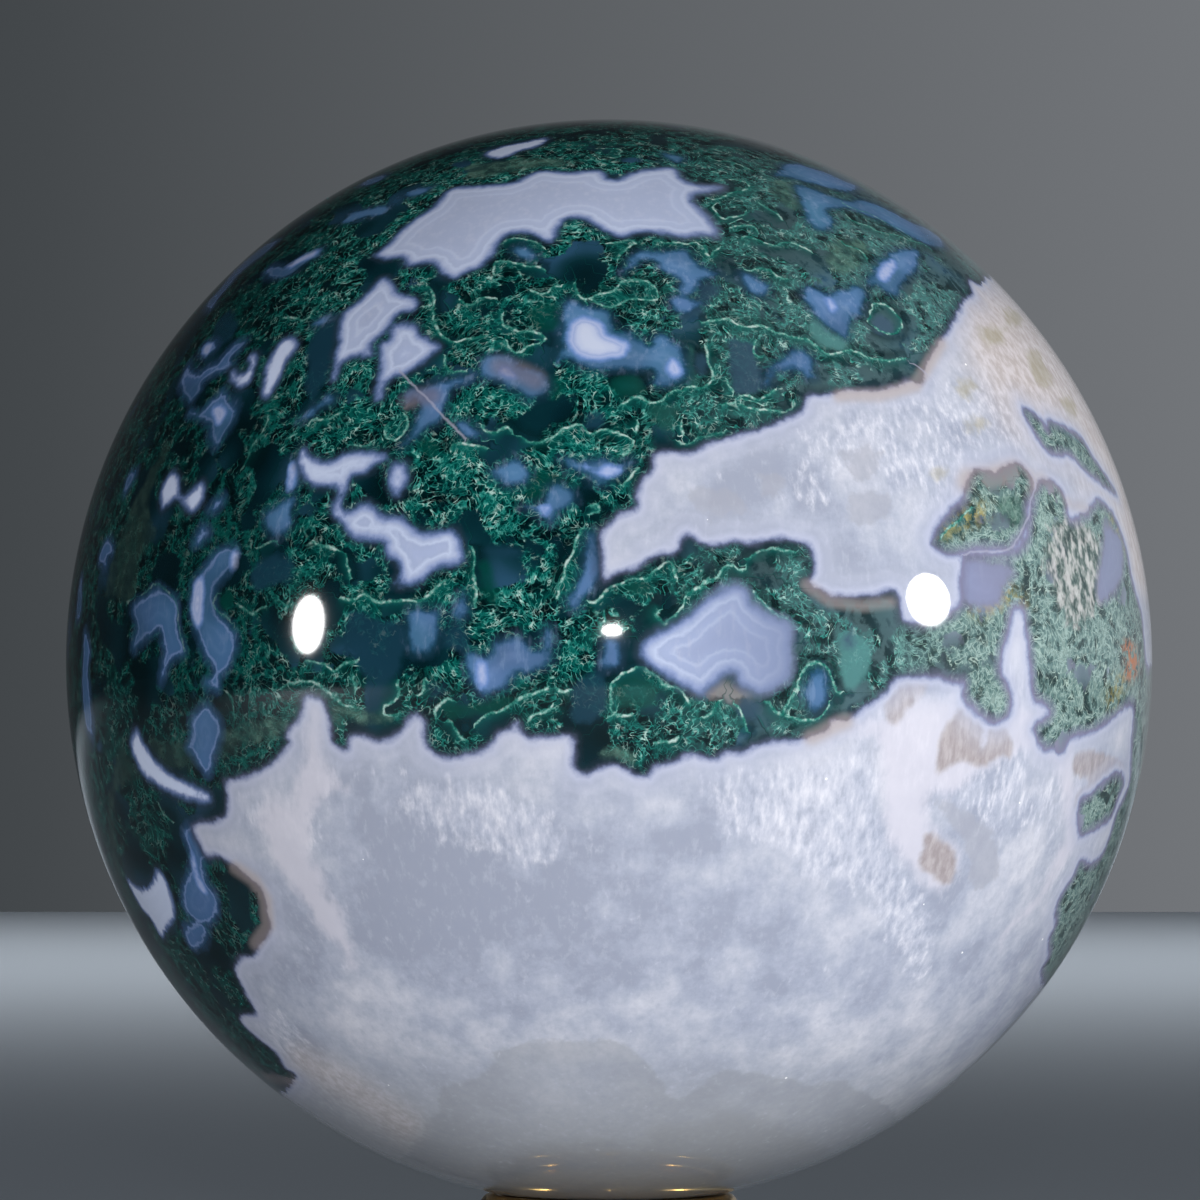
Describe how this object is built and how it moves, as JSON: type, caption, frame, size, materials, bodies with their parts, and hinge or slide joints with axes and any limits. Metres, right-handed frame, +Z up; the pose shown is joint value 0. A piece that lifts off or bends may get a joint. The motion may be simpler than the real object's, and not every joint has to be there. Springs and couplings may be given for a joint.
{
  "type": "moss agate sphere",
  "caption": "Polished moss agate sphere resting on a low turned brass ring stand with a rounded lip and a narrow flat foot.",
  "frame": {"origin": "centre of the ring stand's flat underside, at the level of the table", "axes": "+Z up through the middle of the sphere; -Y faces the viewer of the picture, +X to the right of it"},
  "size_m": [0.1, 0.1, 0.1089],
  "materials": {
    "moss_agate": "polished to a mirror gloss; milky grey-blue and white chalcedony with dark green mossy inclusions",
    "polished_brass": "turned and polished, with faint turning lines"
  },
  "bodies": {
    "root": {"agate_sphere": "moss_agate", "ring_stand": "polished_brass"}
  },
  "joints": []
}
